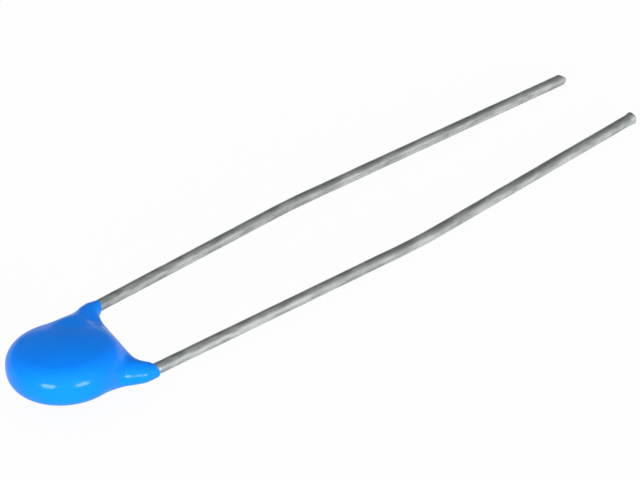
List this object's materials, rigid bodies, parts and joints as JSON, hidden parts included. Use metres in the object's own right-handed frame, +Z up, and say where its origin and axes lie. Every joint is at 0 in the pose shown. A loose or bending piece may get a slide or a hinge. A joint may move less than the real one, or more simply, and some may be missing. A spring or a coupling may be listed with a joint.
{
  "type": "varistor",
  "caption": "Disc varistor: a glossy blue dipped epoxy body with long straight tinned wire leads that solder into a circuit board.",
  "frame": {"origin": "middle of the part's bounding box in plan, at the level of the surface that it rests on", "axes": "+X from the coated disc towards the free ends of the leads, along the part's longest extent; +Y from the near lead (under the disc) towards the far lead (on top of the disc); +Z up from the resting surface, along the shortest extent"},
  "size_m": [0.038, 0.0068, 0.0029],
  "materials": {
    "epoxy": "glossy dipped blue epoxy, even in colour",
    "tinned_wire": "tinned copper wire, bright with faint lengthwise drawing marks",
    "zinc_oxide": "matt dark grey sintered ceramic",
    "fired_silver": "matt fired silver paste",
    "solder": "satin solder"
  },
  "bodies": {
    "root": {"epoxy_coat": "epoxy", "far_lead": "tinned_wire", "near_lead": "tinned_wire", "ceramic_disc": "zinc_oxide", "top_electrode": "fired_silver", "bottom_electrode": "fired_silver", "top_solder_joint": "solder", "bottom_solder_joint": "solder"}
  },
  "joints": []
}
